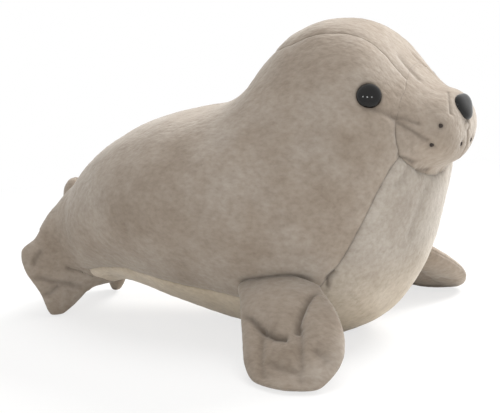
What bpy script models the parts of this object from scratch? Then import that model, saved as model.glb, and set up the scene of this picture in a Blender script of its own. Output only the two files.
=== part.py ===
"""Plush seal: sewn plush panels over stuffing, four flippers, a short tail, safety eyes and a nose.

The seal faces -Y with its belly on z = 0 and is symmetric about x = 0, so its right side is at -X.
Lengths below are in millimetres and are turned into metres when a mesh is made.
"""

import math

import bmesh
import bpy
import numpy as np
from mathutils import Matrix, Vector

MM = 0.001

# Main sizes of the body, and how far its middle lies ahead of the origin
BODY_LENGTH = 279
BODY_HEIGHT = 186
BODY_WIDTH = 138
BODY_AHEAD = 7.7

# Fabric and clearances
PLUSH = 2.0
SEAM_GAP = 0.4
STUFFING_CLEARANCE = 1.4
FLIPPER_CLEARANCE = 0.6
ROOT_GAP = 0.4

# Body stations from tail to nose, as shares of the body's length, height and width: back line
# (forward, up), belly line (forward, up), width, and how much fuller the section is low down.
# The belly line dips under the ground where the belly is pressed flat.
STATIONS = (
    (-0.500, 0.371, -0.500, 0.344, 0.043, 0.00),
    (-0.473, 0.425, -0.473, 0.204, 0.348, 0.00),
    (-0.412, 0.532, -0.419, 0.145, 0.580, -0.04),
    (-0.305, 0.641, -0.287, 0.108, 0.797, -0.14),
    (-0.168, 0.714, -0.154, 0.055, 0.942, -0.20),
    (-0.039, 0.748, -0.018, 0.010, 0.986, -0.20),
    (0.032, 0.804, 0.161, -0.022, 1.000, -0.08),
    (0.075, 0.884, 0.297, 0.056, 0.928, 0.04),
    (0.143, 0.968, 0.384, 0.210, 0.841, 0.06),
    (0.229, 1.000, 0.421, 0.360, 0.783, 0.04),
    (0.319, 0.969, 0.439, 0.478, 0.681, 0.00),
    (0.391, 0.862, 0.444, 0.538, 0.529, 0.00),
    (0.441, 0.796, 0.459, 0.554, 0.442, 0.03),
    (0.477, 0.774, 0.479, 0.570, 0.391, 0.03),
    (0.495, 0.728, 0.496, 0.613, 0.268, 0.00),
    (0.500, 0.688, 0.500, 0.656, 0.101, 0.00),
)

# Seam lines on the body, as (place along the body 0 to 1, angle in degrees)
MUZZLE_SEAM = 0.90
MUZZLE_SEAM_BY_ANGLE = ((0, 0.878), (30, 0.872), (60, 0.852), (95, 0.888), (130, 0.902), (180, 0.898))
BELLY_SEAM = (
    (0, 20), (0.1, 33), (0.18, 43), (0.25, 51), (0.43, 54), (0.52, 56), (0.64, 53), (0.74, 57), (0.9, 60),
)
GUSSET_START = 0.60
GUSSET_TIP = 0.604
GUSSET_HALF_ANGLE = ((0.60, 0), (0.667, 20), (0.70, 25.5), (0.80, 28), (0.87, 27), (0.90, 33))

# Front flipper: where its root sits on the body, its sizes, its directions as (outwards, forward,
# up), and its outline in its own plane as shares of its length and width
FRONT_ROOT = (0.585, 64.5)
FRONT_LENGTH = 76
FRONT_WIDTH = 70.5
FRONT_THICK_ROOT = 17
FRONT_THICK_TIP = 11
FRONT_REST = 2.2
FRONT_ALONG = (0.750, 0.142, -0.646)
FRONT_ACROSS = (-0.095, 0.990, 0.107)
FRONT_OUTLINE = (
    (-0.105, -0.298), (0.184, -0.255), (0.474, -0.170), (0.724, -0.085), (0.908, 0.071), (1.000, 0.326),
    (0.934, 0.567), (0.724, 0.702), (0.513, 0.695), (0.276, 0.582), (0.039, 0.411), (-0.105, 0.355),
)

# Hind flipper: a fan that stands on its lower corner, with its root sunk into the body
HIND_ROOT = (0.088, 60)
HIND_SINK = 12.5
HIND_LENGTH = 46.5
HIND_WIDTH = 64.5
HIND_THICK_ROOT = 15
HIND_THICK_TIP = 8
HIND_REST = 0.4
HIND_ALONG = (0.444, -0.800, -0.403)
HIND_ACROSS = (0.114, -0.396, 0.911)
HIND_OUTLINE = (
    (-0.172, 0.341), (0.194, 0.388), (0.430, 0.326), (0.645, 0.225), (0.903, 0.171), (1.000, -0.031),
    (0.957, -0.295), (0.978, -0.512), (0.914, -0.612), (0.645, -0.581), (0.280, -0.488), (-0.172, -0.388),
)

# How softly a flipper bends where it comes down to the ground, and how square its pillow is
REST_BEND = 1.0
PILLOW_POWER = 2.6

# Short tail over the gathered end of the body
TAIL_PLACE = (0.030, 180)
TAIL_WIDTH = 18
TAIL_LENGTH = 14
TAIL_HEIGHT = 23
TAIL_LIFT = 1.5

# Eyes and nose, with a shank through the plush and a lock washer behind it
EYE_PLACE = (0.847, 106)
EYE_DIAMETER = 14
EYE_HEIGHT = 2.8
EYE_RIM = 0.8
EYE_BACK = 1.2
EYE_BACK_SHARE = 0.97
NOSE_PLACE = (0.974, 180)
NOSE_WIDTH = 18
NOSE_HEIGHT = 15
NOSE_DEPTH = 2.6
NOSE_RIM = 0.6
NOSE_BACK = 3.0
NOSE_CORNERS = 0.10
NOSE_DOME = ((0.93, 0.62), (0.66, 0.90))
SHANK_DIAMETER = 4
SHANK_LENGTH = 10
SHANK_OVERLAP = 1.4
BORE_CLEARANCE = 0.3
WASHER_DIAMETER = 11
WASHER_THICKNESS = 1.4
WASHER_CLEARANCE = 1.9
CUT_ABOVE = 3.0

# Embroidered whisker dots on each side of the muzzle
DOT_PLACES = ((0.957, 100), (0.953, 69), (0.984, 26))
DOT_DIAMETER = 2.8
DOT_HEIGHT = 0.6
DOT_TOP_SHARE = 0.7

# Mesh steps and the angle above which an edge stays crisp
BODY_ROWS = 25
GUSSET_ROWS = 11
MUZZLE_ROWS = 6
SIDE_CELLS = 10
BELLY_CELLS = 10
GUSSET_CELLS = 4
STUFFING_CELLS = 24
ENVELOPE_CELLS = 48
PADDLE_CELLS = 20
PADDLE_RINGS = (0.42, 0.74, 0.93, 1.0)
TAIL_CELLS = 16
TAIL_RINGS = 10
FITTING_CELLS = 16
EYE_CELLS = 24
EYE_RINGS = 5
NOSE_CELLS = 24
DOT_CELLS = 8
CRISP_ANGLE = 50

COLOURS = {
    "grey_plush": (0.310, 0.262, 0.223),
    "pale_plush": (0.520, 0.468, 0.395),
    "stuffing": (0.85, 0.85, 0.83),
    "black_plastic": (0.012, 0.011, 0.010),
    "washer_plastic": (0.75, 0.74, 0.70),
    "thread": (0.045, 0.036, 0.030),
}
PLASTIC_ROUGHNESS = {"black_plastic": 0.12, "washer_plastic": 0.45}
FABRIC_ROUGHNESS = 0.95


def clear_scene():
    for obj in list(bpy.data.objects):
        bpy.data.objects.remove(obj, do_unlink=True)


def material(name):
    found = bpy.data.materials.get(name)
    if found:
        return found
    made = bpy.data.materials.new(name)
    made.use_nodes = True
    shader = made.node_tree.nodes["Principled BSDF"]
    shader.inputs["Base Color"].default_value = (*COLOURS[name], 1.0)
    shader.inputs["Roughness"].default_value = PLASTIC_ROUGHNESS.get(name, FABRIC_ROUGHNESS)
    shader.inputs["Metallic"].default_value = 0.0
    return made


def smooth_curve(knots, values, at):
    """Values on a smooth curve through the knots, which never overshoots by much."""
    knots = np.asarray(knots, float)
    values = np.asarray(values, float)
    steps = np.diff(knots)
    slopes = np.diff(values, axis=0) / steps[:, None]
    tangents = np.zeros_like(values)
    tangents[0] = slopes[0]
    tangents[-1] = slopes[-1]
    weight = steps[:-1] + steps[1:]
    tangents[1:-1] = (slopes[:-1] * steps[1:, None] + slopes[1:] * steps[:-1, None]) / weight[:, None]
    index = np.clip(np.searchsorted(knots, at, side="right") - 1, 0, len(knots) - 2)
    span = steps[index][:, None]
    t = (at - knots[index])[:, None] / span
    start = (2 * t**3 - 3 * t**2 + 1) * values[index] + (t**3 - 2 * t**2 + t) * span * tangents[index]
    end = (3 * t**2 - 2 * t**3) * values[index + 1] + (t**3 - t**2) * span * tangents[index + 1]
    return start + end


def stations():
    """The stations in millimetres: back line, belly line, half width and fullness."""
    sizes = (BODY_LENGTH, BODY_HEIGHT, BODY_LENGTH, BODY_HEIGHT, BODY_WIDTH / 2, 1)
    ahead = (BODY_AHEAD, 0, BODY_AHEAD, 0, 0, 0)
    return np.array(STATIONS) * sizes + ahead


def station_places(rows):
    """The place of each station, 0 at the tail and 1 at the nose, by the mean of both outlines."""
    back = np.linalg.norm(np.diff(rows[:, 0:2], axis=0), axis=1)
    belly = np.linalg.norm(np.diff(rows[:, 2:4], axis=0), axis=1)
    length = np.concatenate([[0.0], np.cumsum((back + belly) / 2)])
    return length / length[-1]


def along_table(table, at):
    places, values = zip(*table)
    return np.interp(at, places, values)


def true_place(place, angle):
    """Turns a place that is 0.9 all round the muzzle seam into the place along the body."""
    from_belly = np.abs((angle + math.pi) % math.tau - math.pi)
    seam = along_table(MUZZLE_SEAM_BY_ANGLE, np.degrees(from_belly))
    behind = place / MUZZLE_SEAM * seam
    ahead = seam + (place - MUZZLE_SEAM) / (1 - MUZZLE_SEAM) * (1 - seam)
    return np.where(place <= MUZZLE_SEAM, behind, ahead)


def surface(place, angle):
    """Points of the body's outer surface. Angle 0 is the belly line and pi the back, + to the left."""
    place, angle = np.broadcast_arrays(np.asarray(place, float), np.asarray(angle, float))
    at = true_place(place, angle).ravel()
    turn = angle.ravel()
    knots = stations()
    rows = smooth_curve(station_places(knots), knots, at)
    back, belly, half, fullness = rows[:, 0:2], rows[:, 2:4], rows[:, 4], rows[:, 5]
    height = -np.cos(turn)
    across = half * np.sin(turn) * (1 - fullness * height)
    profile = (back + belly) / 2 + (back - belly) / 2 * height[:, None]
    points = np.stack([across, -profile[:, 0], profile[:, 1]], axis=-1)
    return points.reshape(place.shape + (3,))


def normals(place, angle):
    """Outward unit normals of the body's surface."""
    step = 1e-4
    ahead = np.minimum(place + step, 1.0)
    behind = np.maximum(place - step, 0.0)
    lengthwise = surface(ahead, angle) - surface(behind, angle)
    crosswise = surface(place, angle + step) - surface(place, angle - step)
    cross = np.cross(crosswise, lengthwise)
    return cross / np.linalg.norm(cross, axis=-1, keepdims=True)


def skin(place, angle, depth):
    """Points at a depth under the outer surface, flat where the belly rests on the ground."""
    place, angle = np.broadcast_arrays(np.asarray(place, float), np.asarray(angle, float))
    points = surface(place, angle) - depth * normals(place, angle)
    points[..., 2] = np.maximum(points[..., 2], depth)
    return points


def frame_on_body(place, degrees, sink, side):
    """A point under the surface and the outward normal there. Side is -1 on the seal's right."""
    place = np.array([place])
    angle = np.array([math.radians(degrees) * side])
    normal = normals(place, angle)[0]
    return surface(place, angle)[0] - sink * normal, normal


def add_object(name, mesh, material_name):
    obj = bpy.data.objects.new(name, mesh)
    bpy.context.scene.collection.objects.link(obj)
    if material_name:
        mesh.materials.append(material(material_name))
    return obj


def mesh_object(name, points, faces, material_name):
    """An object from points in millimetres, with its faces turned outwards."""
    mesh = bpy.data.meshes.new(name)
    mesh.from_pydata([tuple(point) for point in np.asarray(points) * MM], [], faces)
    shape = bmesh.new()
    shape.from_mesh(mesh)
    bmesh.ops.recalc_face_normals(shape, faces=shape.faces)
    if shape.calc_volume(signed=True) < 0:
        bmesh.ops.reverse_faces(shape, faces=shape.faces)
    shape.to_mesh(mesh)
    shape.free()
    mesh.shade_smooth()
    mesh.set_sharp_from_angle(angle=math.radians(CRISP_ANGLE))
    return add_object(name, mesh, material_name)


def hide_cutter(obj):
    obj.hide_render = True
    obj.display_type = "WIRE"
    return obj


def boolean(obj, other, operation):
    modifier = obj.modifiers.new(f"{operation.lower()} {other.name}", "BOOLEAN")
    modifier.operation = operation
    modifier.solver = "EXACT"
    modifier.object = other
    return modifier


def grid_faces(rows, columns, first=0):
    faces = []
    for i in range(rows - 1):
        for j in range(columns - 1):
            corner = first + i * columns + j
            faces.append((corner, corner + 1, corner + columns + 1, corner + columns))
    return faces


def ring_faces(rows, cells, first=0):
    faces = []
    for i in range(rows - 1):
        for j in range(cells):
            a = first + i * cells + j
            b = first + i * cells + (j + 1) % cells
            faces.append((a, b, b + cells, a + cells))
    return faces


def panel(name, place, angle, material_name):
    """A sewn panel: a patch of the body's surface with the thickness of the plush."""
    rows, columns = place.shape
    outer = skin(place, angle, 0.0).reshape(-1, 3)
    inner = skin(place, angle, PLUSH).reshape(-1, 3)
    count = rows * columns
    faces = grid_faces(rows, columns)
    faces += [tuple(reversed(face)) for face in grid_faces(rows, columns, count)]
    top = list(range(columns))
    right = [i * columns + columns - 1 for i in range(1, rows)]
    bottom = [(rows - 1) * columns + j for j in range(columns - 2, -1, -1)]
    left = [i * columns for i in range(rows - 2, 0, -1)]
    rim = top + right + bottom + left
    for a, b in zip(rim, rim[1:] + rim[:1]):
        faces.append((a, b, b + count, a + count))
    return mesh_object(name, np.concatenate([outer, inner]), faces, material_name)


def ring_solid(name, cells, depth, material_name):
    """The whole body as a closed solid of rings at one depth, with a flat face at each end."""
    places = np.concatenate([body_rows(), muzzle_rows()[1:]])
    angle = np.linspace(-math.pi, math.pi, cells, endpoint=False)
    points = skin(places[:, None], angle[None, :], depth).reshape(-1, 3)
    faces = ring_faces(len(places), cells)
    faces.append(tuple(range(cells)))
    faces.append(tuple(range((len(places) - 1) * cells, len(places) * cells)))
    return mesh_object(name, points, faces, material_name)


def seam_shift(place, angle, distance, lengthwise):
    """The change of place, or of angle, that moves a point by a distance along the surface."""
    step = 1e-3
    if lengthwise:
        moved = surface(place, angle) - surface(place - step, angle)
    else:
        moved = surface(place, angle + step) - surface(place, angle)
    return distance * step / np.linalg.norm(moved, axis=-1)


def body_rows():
    """Places shared by every panel, with an extra row at the tip of the head gusset."""
    plain = np.linspace(0.0, GUSSET_START, BODY_ROWS - GUSSET_ROWS)
    head = np.linspace(GUSSET_START, MUZZLE_SEAM, GUSSET_ROWS + 1)
    return np.unique(np.concatenate([plain, [GUSSET_TIP], head]))


def muzzle_rows():
    return np.linspace(MUZZLE_SEAM, 1.0, MUZZLE_ROWS + 1)


def strip(rows, low, high, cells):
    """Place and angle of a patch between two seam lines, less half a seam gap on each side."""
    half_gap = SEAM_GAP / 2
    low = low + seam_shift(rows, low, half_gap, False)
    high = high - seam_shift(rows, high, half_gap, False)
    share = np.linspace(0, 1, cells + 1)
    angle = low[:, None] + (high - low)[:, None] * share[None, :]
    place = np.repeat(rows[:, None], cells + 1, axis=1)
    place[-1] -= seam_shift(place[-1], angle[-1], half_gap, True)
    return place, angle


def belly_angle(rows):
    return np.radians(along_table(BELLY_SEAM, rows))


def gusset_angle(rows):
    return np.radians(along_table(GUSSET_HALF_ANGLE, rows)) * (rows > GUSSET_START)


def side_panel(name, side):
    rows = body_rows()
    place, angle = strip(rows, belly_angle(rows), math.pi - gusset_angle(rows), SIDE_CELLS)
    return panel(name, place, angle * side, "grey_plush")


def chest_belly_panel():
    rows = body_rows()
    edge = belly_angle(rows)
    place, angle = strip(rows, -edge, edge, BELLY_CELLS)
    return panel("chest_belly_panel", place, angle, "pale_plush")


def head_gusset():
    rows = body_rows()
    rows = rows[rows >= GUSSET_TIP]
    edge = gusset_angle(rows)
    place, angle = strip(rows, math.pi - edge, math.pi + edge, GUSSET_CELLS)
    return panel("head_gusset", place, angle, "grey_plush")


def muzzle_angles():
    """Angles round the muzzle seam that meet the corners of every panel behind it."""
    low = belly_angle(MUZZLE_SEAM)
    high = math.pi - float(gusset_angle(MUZZLE_SEAM))
    belly = np.linspace(-low, low, BELLY_CELLS, endpoint=False)
    left = np.linspace(low, high, SIDE_CELLS, endpoint=False)
    top = np.linspace(high, math.tau - high, GUSSET_CELLS, endpoint=False)
    right = np.linspace(math.tau - high, math.tau - low, SIDE_CELLS, endpoint=False)
    return np.concatenate([belly, left, top, right])


def muzzle_panel():
    """The muzzle cap: rings from its seam to the tip of the snout, closed in front."""
    angle = muzzle_angles()
    cells = len(angle)
    rows = muzzle_rows()
    place = np.repeat(rows[:, None], cells, axis=1)
    place[0] += seam_shift(place[0], angle, SEAM_GAP / 2, True)
    turn = np.repeat(angle[None, :], len(rows), axis=0)
    outer = skin(place, turn, 0.0).reshape(-1, 3)
    inner = skin(place, turn, PLUSH).reshape(-1, 3)
    count = len(outer)
    faces = ring_faces(len(rows), cells)
    faces += [tuple(reversed(face)) for face in ring_faces(len(rows), cells, count)]
    last = (len(rows) - 1) * cells
    faces.append(tuple(range(last, last + cells)))
    faces.append(tuple(range(count + last + cells - 1, count + last - 1, -1)))
    for j in range(cells):
        other = (j + 1) % cells
        faces.append((j, other, other + count, j + count))
    return mesh_object("muzzle_panel", np.concatenate([outer, inner]), faces, "grey_plush")


def body_envelope():
    """The outer surface with the root gap added, which trims what is sewn or set on the body."""
    return hide_cutter(ring_solid("body_envelope", ENVELOPE_CELLS, -ROOT_GAP, None))


def body_stuffing():
    return ring_solid("body_stuffing", STUFFING_CELLS, PLUSH + STUFFING_CLEARANCE, "stuffing")


def closed_outline(knots, cells):
    """Points on a smooth closed curve through the knots."""
    before, after = knots[-2:], knots[:3]
    looped = np.concatenate([before, knots, after])
    at = len(before) + np.linspace(0, len(knots), cells, endpoint=False)
    return smooth_curve(np.arange(len(looped), dtype=float), looped, at)


class Paddle:
    """A pillow in its own plane: along runs to the tip, across runs forwards, up is the outer face."""

    def __init__(self, root, side, along, across, outline, thick_root, thick_tip, rest):
        mirror = np.array([side, -1.0, 1.0])
        self.root = root
        self.along = np.array(along) * mirror
        self.across = np.array(across) * mirror
        self.up = np.cross(self.across, self.along) * side
        self.along /= np.linalg.norm(self.along)
        self.across /= np.linalg.norm(self.across)
        self.up /= np.linalg.norm(self.up)
        self.outline = closed_outline(outline, PADDLE_CELLS)
        self.thick = (thick_root / 2, thick_tip / 2)
        self.rest = rest

    def middle(self, flat):
        """Points of the middle surface, which bends up to lie on the ground at its rest height."""
        points = self.root + flat[:, :1] * self.along + flat[:, 1:] * self.across
        over = points[:, 2] - self.rest
        points[:, 2] = self.rest + (over + np.hypot(over, REST_BEND)) / 2
        return points

    def half_thickness(self, flat, share, depth):
        length = self.outline[:, 0].max()
        toward_tip = np.clip(flat[:, 0] / length, 0, 1)
        full = self.thick[0] + (self.thick[1] - self.thick[0]) * toward_tip - depth
        return full * math.sqrt(1 - share**PILLOW_POWER)

    def dome(self, depth, outwards, rim_height):
        """Rings of points from the middle to the rim on one face, at a depth under its surface."""
        centre = self.outline.mean(axis=0)
        spokes = self.outline - centre
        reach = np.linalg.norm(spokes, axis=1, keepdims=True)
        edge = spokes * (1 - depth / reach)
        points = []
        for share in (0.0, *PADDLE_RINGS):
            flat = centre + edge * share if share else centre[None, :]
            height = self.half_thickness(flat, share, depth) + rim_height
            points.append(self.middle(flat) + outwards * height[:, None] * self.up)
        points = np.concatenate(points)
        if self.rest > PLUSH:
            points[:, 2] = np.maximum(points[:, 2], depth)
        return points

    def dome_faces(self, first=0):
        """Triangles round the middle point, then rings out to the rim."""
        ring = first + 1
        faces = []
        for j in range(PADDLE_CELLS):
            faces.append((first, ring + j, ring + (j + 1) % PADDLE_CELLS))
        return faces + ring_faces(len(PADDLE_RINGS), PADDLE_CELLS, ring)

    def rim_start(self):
        return 1 + (len(PADDLE_RINGS) - 1) * PADDLE_CELLS

    def panel(self, name, outwards, material_name):
        outer = self.dome(0.0, outwards, SEAM_GAP / 2)
        inner = self.dome(PLUSH, outwards, SEAM_GAP / 2)
        count = len(outer)
        faces = self.dome_faces()
        faces += [tuple(reversed(face)) for face in self.dome_faces(count)]
        for j in range(PADDLE_CELLS):
            a = self.rim_start() + j
            b = self.rim_start() + (j + 1) % PADDLE_CELLS
            faces.append((a, b, b + count, a + count))
        return mesh_object(name, np.concatenate([outer, inner]), faces, material_name)

    def stuffing(self, name):
        """Two domes that share their rim."""
        depth = PLUSH + FLIPPER_CLEARANCE
        upper = self.dome(depth, 1, 0.0)
        lower = self.dome(depth, -1, 0.0)
        rim = self.rim_start()
        faces = self.dome_faces()
        for face in self.dome_faces():
            faces.append(tuple(k if k >= rim else k + len(upper) for k in reversed(face)))
        return mesh_object(name, np.concatenate([upper, lower[:rim]]), faces, "stuffing")

    def pieces(self, name, envelope):
        """Both panels and the stuffing, trimmed where they meet the body."""
        upper = self.panel(f"{name}_upper_panel", 1, "grey_plush")
        under = self.panel(f"{name}_under_panel", -1, "grey_plush")
        filling = self.stuffing(f"{name}_stuffing")
        for obj in (upper, under, filling):
            boolean(obj, envelope, "DIFFERENCE")


def front_flipper(name, side, envelope):
    root, _ = frame_on_body(*FRONT_ROOT, 0.0, side)
    outline = np.array(FRONT_OUTLINE) * (FRONT_LENGTH, FRONT_WIDTH)
    thick = (FRONT_THICK_ROOT, FRONT_THICK_TIP)
    paddle = Paddle(root, side, FRONT_ALONG, FRONT_ACROSS, outline, *thick, FRONT_REST)
    paddle.pieces(name, envelope)


def hind_flipper(name, side, envelope):
    root, _ = frame_on_body(*HIND_ROOT, HIND_SINK, side)
    outline = np.array(HIND_OUTLINE) * (HIND_LENGTH, HIND_WIDTH)
    thick = (HIND_THICK_ROOT, HIND_THICK_TIP)
    paddle = Paddle(root, side, HIND_ALONG, HIND_ACROSS, outline, *thick, HIND_REST)
    paddle.pieces(name, envelope)


def tail(envelope):
    """A small stuffed tab over the gathered end of the body."""
    centre, _ = frame_on_body(*TAIL_PLACE, -TAIL_LIFT, 1)
    half_sizes = Vector((TAIL_WIDTH, TAIL_LENGTH, TAIL_HEIGHT)) / 2 * MM
    shape = bmesh.new()
    bmesh.ops.create_uvsphere(shape, u_segments=TAIL_CELLS, v_segments=TAIL_RINGS, radius=1.0)
    bmesh.ops.scale(shape, vec=half_sizes, verts=shape.verts)
    bmesh.ops.translate(shape, vec=Vector(centre) * MM, verts=shape.verts)
    mesh = bpy.data.meshes.new("tail")
    shape.to_mesh(mesh)
    shape.free()
    mesh.shade_smooth()
    obj = add_object("tail", mesh, "grey_plush")
    boolean(obj, envelope, "DIFFERENCE")
    return obj


def turned(name, profile, cells, material_name):
    """A solid turned about Z from a profile of (radius, height)."""
    shape = bmesh.new()
    points = [shape.verts.new((radius * MM, 0, height * MM)) for radius, height in profile]
    edges = [shape.edges.new(pair) for pair in zip(points, points[1:])]
    bmesh.ops.spin(
        shape,
        geom=points + edges,
        axis=(0, 0, 1),
        cent=(0, 0, 0),
        steps=cells,
        angle=math.tau,
        use_merge=True,
    )
    bmesh.ops.remove_doubles(shape, verts=shape.verts, dist=1e-7)
    bmesh.ops.recalc_face_normals(shape, faces=shape.faces)
    mesh = bpy.data.meshes.new(name)
    shape.to_mesh(mesh)
    shape.free()
    mesh.shade_smooth()
    mesh.set_sharp_from_angle(angle=math.radians(CRISP_ANGLE))
    return add_object(name, mesh, material_name)


def stand_on(obj, point, normal):
    """Moves an object made about Z to a point in millimetres, with Z along the normal."""
    turn = Vector(normal).to_track_quat("Z", "Y").to_matrix().to_4x4()
    obj.matrix_world = Matrix.Translation(Vector(point) * MM) @ turn


def rod(radius, low, high):
    return ((0, low), (radius, low), (radius, high), (0, high))


def shank_fittings(name, point, normal, cap, plush, stuffing, envelope):
    """Trims a cap to the body, gives it a shank through the plush and seats a washer behind it."""
    radius = SHANK_DIAMETER / 2
    bore_radius = radius + BORE_CLEARANCE
    washer_radius = WASHER_DIAMETER / 2
    pocket_radius = washer_radius + BORE_CLEARANCE
    seat = -PLUSH - WASHER_CLEARANCE
    washer_back = seat - WASHER_THICKNESS
    pocket_back = washer_back - SEAM_GAP
    shank_end = -SHANK_LENGTH
    hole_end = shank_end - SEAM_GAP
    pocket_profile = (
        (0, hole_end),
        (bore_radius, hole_end),
        (bore_radius, pocket_back),
        (pocket_radius, pocket_back),
        (pocket_radius, CUT_ABOVE),
        (0, CUT_ABOVE),
    )
    washer_profile = (
        (bore_radius, washer_back),
        (washer_radius, washer_back),
        (washer_radius, seat),
        (bore_radius, seat),
        (bore_radius, washer_back),
    )
    shank = hide_cutter(turned(f"{name}_shank", rod(radius, shank_end, SHANK_OVERLAP), FITTING_CELLS, None))
    bore = hide_cutter(turned(f"{name}_bore", rod(bore_radius, seat, CUT_ABOVE), FITTING_CELLS, None))
    pocket = hide_cutter(turned(f"{name}_pocket", pocket_profile, FITTING_CELLS, None))
    washer = turned(f"{name}_washer", washer_profile, FITTING_CELLS, "washer_plastic")
    for obj in (shank, bore, pocket, washer):
        stand_on(obj, point, normal)
    boolean(cap, envelope, "DIFFERENCE")
    boolean(cap, shank, "UNION")
    boolean(plush, bore, "DIFFERENCE")
    boolean(stuffing, pocket, "DIFFERENCE")


def eye(name, side, plush, stuffing, envelope):
    """A domed button with a low rim, trimmed to sit on the plush."""
    point, normal = frame_on_body(*EYE_PLACE, 0.0, side)
    radius = EYE_DIAMETER / 2
    profile = [(0, -EYE_BACK), (radius * EYE_BACK_SHARE, -EYE_BACK), (radius, EYE_RIM)]
    for ring in range(1, EYE_RINGS):
        turn = ring / EYE_RINGS * math.pi / 2
        height = EYE_RIM + (EYE_HEIGHT - EYE_RIM) * math.sin(turn)
        profile.append((radius * math.cos(turn), height))
    profile.append((0, EYE_HEIGHT))
    cap = turned(name, profile, EYE_CELLS, "black_plastic")
    stand_on(cap, point, normal)
    shank_fittings(name, point, normal, cap, plush, stuffing, envelope)


def nose_reach(turn):
    """A rounded triangle, wide above and pointed below, as a share of the half sizes."""
    return 1 - NOSE_CORNERS * math.cos(3 * (turn + math.pi / 2))


def nose(plush, stuffing, envelope):
    """A low domed button, trimmed to sit on the snout."""
    point, normal = frame_on_body(*NOSE_PLACE, 0.0, 1)
    rings = [(1.0, -NOSE_BACK), (1.0, NOSE_RIM)]
    rings += [(share, height * NOSE_DEPTH) for share, height in NOSE_DOME]
    points = []
    for share, height in rings:
        for j in range(NOSE_CELLS):
            turn = math.tau * j / NOSE_CELLS
            reach = share * nose_reach(turn)
            across = NOSE_WIDTH / 2 * reach * math.cos(turn)
            upwards = NOSE_HEIGHT / 2 * reach * math.sin(turn)
            points.append((across, upwards, height))
    points.append((0, 0, NOSE_DEPTH))
    points.append((0, 0, -NOSE_BACK))
    tip = len(rings) * NOSE_CELLS
    faces = ring_faces(len(rings), NOSE_CELLS)
    for j in range(NOSE_CELLS):
        other = (j + 1) % NOSE_CELLS
        faces.append((tip - NOSE_CELLS + j, tip - NOSE_CELLS + other, tip))
        faces.append((other, j, tip + 1))
    cap = mesh_object("nose", points, faces, "black_plastic")
    stand_on(cap, point, normal)
    shank_fittings("nose", point, normal, cap, plush, stuffing, envelope)


def whisker_dot(name, place, degrees, side):
    point, normal = frame_on_body(place, degrees, 0.0, side)
    radius = DOT_DIAMETER / 2
    top = SEAM_GAP + DOT_HEIGHT
    profile = (
        (0, SEAM_GAP),
        (radius, SEAM_GAP),
        (radius, SEAM_GAP + DOT_HEIGHT / 2),
        (radius * DOT_TOP_SHARE, top),
        (0, top),
    )
    stand_on(turned(name, profile, DOT_CELLS, "thread"), point, normal)


def main():
    clear_scene()
    envelope = body_envelope()
    filling = body_stuffing()
    muzzle = muzzle_panel()
    head_gusset()
    chest_belly_panel()
    for word, side in (("right", -1), ("left", 1)):
        plush = side_panel(f"side_panel_{word}", side)
        eye(f"eye_{word}", side, plush, filling, envelope)
        front_flipper(f"front_flipper_{word}", side, envelope)
        hind_flipper(f"hind_flipper_{word}", side, envelope)
        for number, (place, degrees) in enumerate(DOT_PLACES, 1):
            whisker_dot(f"whisker_dot_{word}_{number}", place, degrees, side)
    nose(muzzle, filling, envelope)
    tail(envelope)


main()
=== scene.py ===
"""Looks of the plush seal: sewn plush panels, stuffed flippers, glossy eyes and nose, studio and camera.

Lengths in the tables are millimetres and meshes are metres. The seal faces -Y and its right side is -X.
"""

import math

import bmesh
import bpy
import numpy as np
from mathutils import Matrix, Vector
from mathutils.bvhtree import BVHTree


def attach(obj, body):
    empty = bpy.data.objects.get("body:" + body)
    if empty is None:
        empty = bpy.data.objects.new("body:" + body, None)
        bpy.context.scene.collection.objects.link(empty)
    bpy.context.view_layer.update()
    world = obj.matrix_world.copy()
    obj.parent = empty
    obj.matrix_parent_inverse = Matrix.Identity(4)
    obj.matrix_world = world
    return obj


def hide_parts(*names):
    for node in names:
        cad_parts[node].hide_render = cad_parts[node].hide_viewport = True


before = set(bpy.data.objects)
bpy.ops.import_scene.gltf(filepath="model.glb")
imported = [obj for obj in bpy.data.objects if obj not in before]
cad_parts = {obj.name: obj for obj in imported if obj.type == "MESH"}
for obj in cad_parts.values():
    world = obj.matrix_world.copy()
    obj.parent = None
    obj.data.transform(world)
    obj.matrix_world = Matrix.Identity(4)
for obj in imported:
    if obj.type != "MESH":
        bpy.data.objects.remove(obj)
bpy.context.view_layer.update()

MM = 0.001

# Main sizes of the body, and how far its middle lies ahead of the origin
BODY_LENGTH = 279
BODY_HEIGHT = 186
BODY_WIDTH = 138
BODY_AHEAD = 7.7

# Body stations from tail to nose, as shares of the body's length, height and width: back line
# (forward, up), belly line (forward, up), width, and how much fuller the section is low down
STATIONS = (
    (-0.500, 0.371, -0.500, 0.344, 0.043, 0.00),
    (-0.473, 0.425, -0.473, 0.204, 0.348, 0.00),
    (-0.412, 0.532, -0.419, 0.145, 0.580, -0.04),
    (-0.305, 0.641, -0.287, 0.108, 0.797, -0.14),
    (-0.168, 0.714, -0.154, 0.055, 0.942, -0.20),
    (-0.039, 0.748, -0.018, 0.010, 0.986, -0.20),
    (0.032, 0.804, 0.161, -0.022, 1.000, -0.08),
    (0.075, 0.884, 0.297, 0.056, 0.928, 0.04),
    (0.143, 0.968, 0.384, 0.210, 0.841, 0.06),
    (0.229, 1.000, 0.421, 0.360, 0.783, 0.04),
    (0.319, 0.969, 0.439, 0.478, 0.681, 0.00),
    (0.391, 0.862, 0.444, 0.538, 0.529, 0.00),
    (0.441, 0.796, 0.459, 0.554, 0.442, 0.03),
    (0.477, 0.774, 0.479, 0.570, 0.391, 0.03),
    (0.495, 0.728, 0.496, 0.613, 0.268, 0.00),
    (0.500, 0.688, 0.500, 0.656, 0.101, 0.00),
)

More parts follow.
